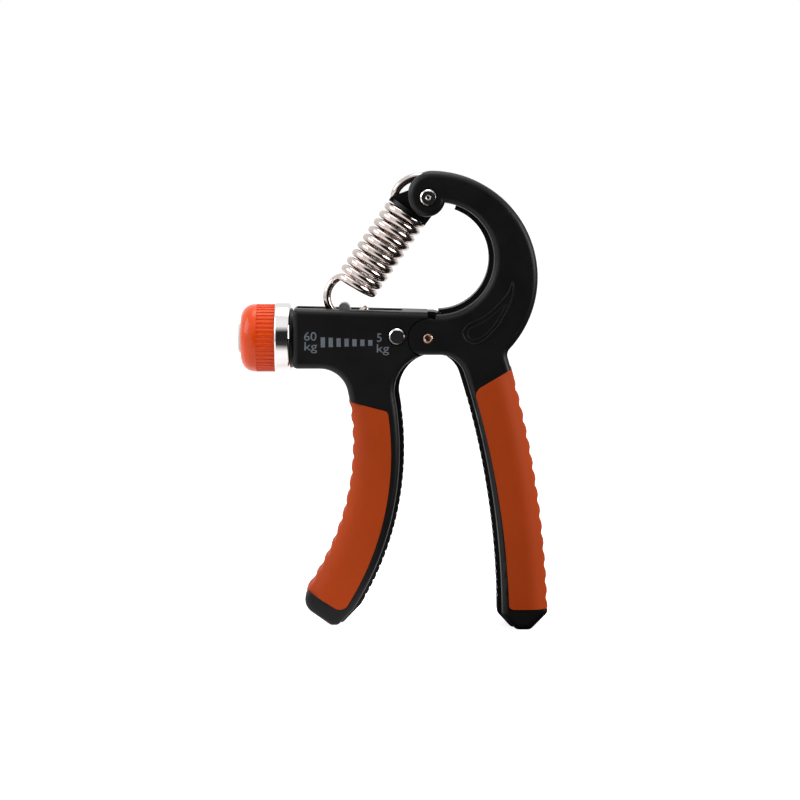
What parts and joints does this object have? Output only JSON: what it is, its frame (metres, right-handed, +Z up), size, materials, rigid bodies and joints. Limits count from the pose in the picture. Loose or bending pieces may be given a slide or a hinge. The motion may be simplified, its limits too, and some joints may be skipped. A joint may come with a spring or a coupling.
{
  "type": "hand grip strengthener",
  "caption": "Hand grip strengthener: two hinged handles with soft ribbed grips, a curved arm, a coil spring and a knob that sets the resistance.",
  "frame": {"origin": "middle of the bounding box, on the level of the lowest foot", "axes": "+X from the knob towards the curved arm, -Y towards the printed front, +Z up from the feet to the spring"},
  "size_m": [0.1082, 0.0244, 0.1595],
  "materials": {
    "black_plastic": "fine satin grain",
    "orange_rubber": "matte soft grip",
    "orange_plastic": "semi-gloss",
    "pale_plastic": "semi-gloss",
    "chrome_trim": "polished",
    "spring_steel": "bright nickel",
    "steel": "zinc plated",
    "brass_rivet": "coppered"
  },
  "bodies": {
    "fixed_side": {"left_handle": "black_plastic", "left_grip": "orange_rubber", "end_bush": "black_plastic", "bearing_block": "steel", "block_rivet": "steel", "hinge_bush": "steel", "hinge_rivet": "brass_rivet"},
    "knob_and_screw": {"knob_body": "orange_plastic", "knob_ring": "chrome_trim", "knob_cap": "pale_plastic", "knob_fixing_screw": "steel", "adjusting_screw": "steel", "retaining_ring": "steel", "thrust_washer": "steel"},
    "hook_carriage": {"carriage": "steel", "carriage_pin": "steel"},
    "moving_side": {"right_handle": "black_plastic", "right_grip": "orange_rubber", "upper_rivet": "steel"},
    "seat": {"spring_seat": "black_plastic"},
    "spring_wire": {"spring": "spring_steel"}
  },
  "joints": [
    {"name": "knob_turn", "type": "hinge", "parent": "fixed_side", "child": "knob_and_screw", "pos_m": [-0.0351, 0, 0.1014], "axis": [1, 0, 0], "range_deg": [-1020, 150]},
    {"name": "carriage_travel", "type": "slide", "parent": "fixed_side", "child": "hook_carriage", "axis": [1, 0, 0], "range_m": [-0.00045, 0.00287]},
    {"name": "handle_squeeze", "type": "hinge", "parent": "fixed_side", "child": "moving_side", "pos_m": [0.0121, 0, 0.1019], "axis": [0, 1, 0], "range_deg": [0, 18], "stiffness_Nm_per_rad": 0.8, "springref_deg": -3.44},
    {"name": "seat_swing", "type": "hinge", "parent": "moving_side", "child": "seat", "pos_m": [0.0121, 0, 0.1505], "axis": [0, 1, 0], "range_deg": [-4.4, 0.2]},
    {"name": "spring_stretch", "type": "slide", "parent": "seat", "child": "spring_wire", "axis": [-0.5736, 0, -0.8192], "range_m": [0, 0.0089], "deforming": ["spring"]}
  ],
  "couplings": [
    {"joint": "carriage_travel", "follows": "knob_turn", "m_per_rad": -0.00015915},
    {"joint": "seat_swing", "follows": "handle_squeeze", "ratio": -0.234},
    {"joint": "spring_stretch", "follows": "handle_squeeze", "m_per_rad": 0.02782}
  ]
}
